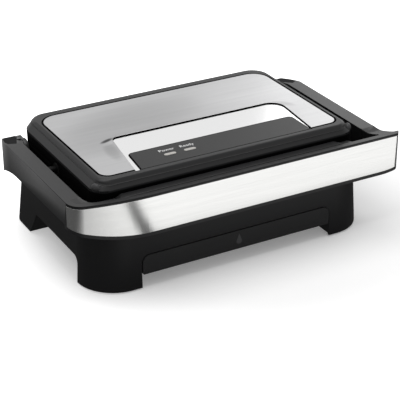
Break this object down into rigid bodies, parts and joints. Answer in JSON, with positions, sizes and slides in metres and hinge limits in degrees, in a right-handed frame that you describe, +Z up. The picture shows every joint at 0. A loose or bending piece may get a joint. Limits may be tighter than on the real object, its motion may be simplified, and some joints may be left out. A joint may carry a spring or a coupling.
{
  "type": "electric contact grill",
  "caption": "Compact electric contact grill with hinged self-levelling lid, ribbed plates, wrap-round handle frame with steel band, indicator panel and pull-out drip tray.",
  "frame": {"origin": "on the resting surface under the feet, midway along the whole width (the flared handle tip included) and midway between front and back", "axes": "+X runs to the right along the lid hinge, +Y to the back, +Z up"},
  "size_m": [0.367, 0.2114, 0.1141],
  "materials": {
    "base_black": "fine-grained satin black moulding",
    "frame_black": "satin black moulding",
    "lid_black": "satin black moulding",
    "tray_black": "satin black moulding",
    "rubber": "dull",
    "bright_steel": "bright aluminised sheet",
    "element_steel": "heat-darkened tube",
    "non_stick": "cast, dark non-stick coating",
    "zinc_steel": "zinc-plated",
    "bracket_steel": "plain pressed sheet",
    "pale_insulator": "pale heat-proof insulator",
    "band_steel": "polished to a near mirror",
    "brushed_plate": "brushed",
    "polished_strip": "polished",
    "panel_grey": "dark grey, semi-gloss",
    "lamp_lens": "frosted, unlit",
    "board_green": "printed circuit board",
    "dark_steel": "blackened",
    "bush_black": "black nylon",
    "bush_nylon": "natural nylon"
  },
  "bodies": {
    "base": {"base_housing": "base_black", "front_leg_left": "base_black", "front_leg_right": "base_black", "rear_leg_left": "base_black", "rear_leg_right": "base_black", "side_skirt_left": "base_black", "side_skirt_right": "base_black", "base_bottom_cover": "base_black", "bottom_cover_screws": "zinc_steel", "rubber_feet": "rubber", "tray_rail_left": "base_black", "tray_rail_right": "base_black", "base_bezel": "base_black", "lower_reflector": "bright_steel", "lower_heating_element": "element_steel", "lower_grill_plate": "non_stick", "lower_plate_screws": "zinc_steel", "lower_thermostat": "pale_insulator", "thermal_fuse": "pale_insulator", "terminal_block": "pale_insulator", "cable_inlet": "rubber", "hinge_bracket_left": "bracket_steel", "hinge_bracket_right": "bracket_steel", "bracket_screws": "zinc_steel", "hinge_pins": "zinc_steel", "hinge_cap_left": "frame_black", "hinge_cap_right": "frame_black"},
    "tray": {"drip_tray": "tray_black"},
    "handle": {"handle_frame": "frame_black", "handle_trim": "band_steel", "hinge_bushes": "bush_nylon", "lid_pivot_pins": "dark_steel"},
    "lid": {"lid_shell": "lid_black", "lid_top_plate": "brushed_plate", "lid_inlay": "polished_strip", "control_panel": "panel_grey", "power_lamp": "lamp_lens", "ready_lamp": "lamp_lens", "indicator_board": "board_green", "upper_reflector": "bright_steel", "upper_heating_element": "element_steel", "upper_grill_plate": "non_stick", "upper_thermostat": "pale_insulator", "upper_plate_screws": "zinc_steel", "lid_rear_cover": "lid_black", "lid_cover_screws": "zinc_steel", "lid_pivot_bushes": "bush_black"}
  },
  "joints": [
    {"name": "lid_hinge", "type": "hinge", "parent": "base", "child": "handle", "pos_m": [-0.008, 0.078, 0.086], "axis": [-1, 0, 0], "range_deg": [0, 100]},
    {"name": "lid_tilt", "type": "hinge", "parent": "handle", "child": "lid", "pos_m": [-0.008, 0.005, 0.092], "axis": [-1, 0, 0], "range_deg": [-2.5, 2.5]},
    {"name": "tray_slide", "type": "slide", "parent": "base", "child": "tray", "axis": [0, -1, 0], "range_m": [0, 0.1]}
  ]
}
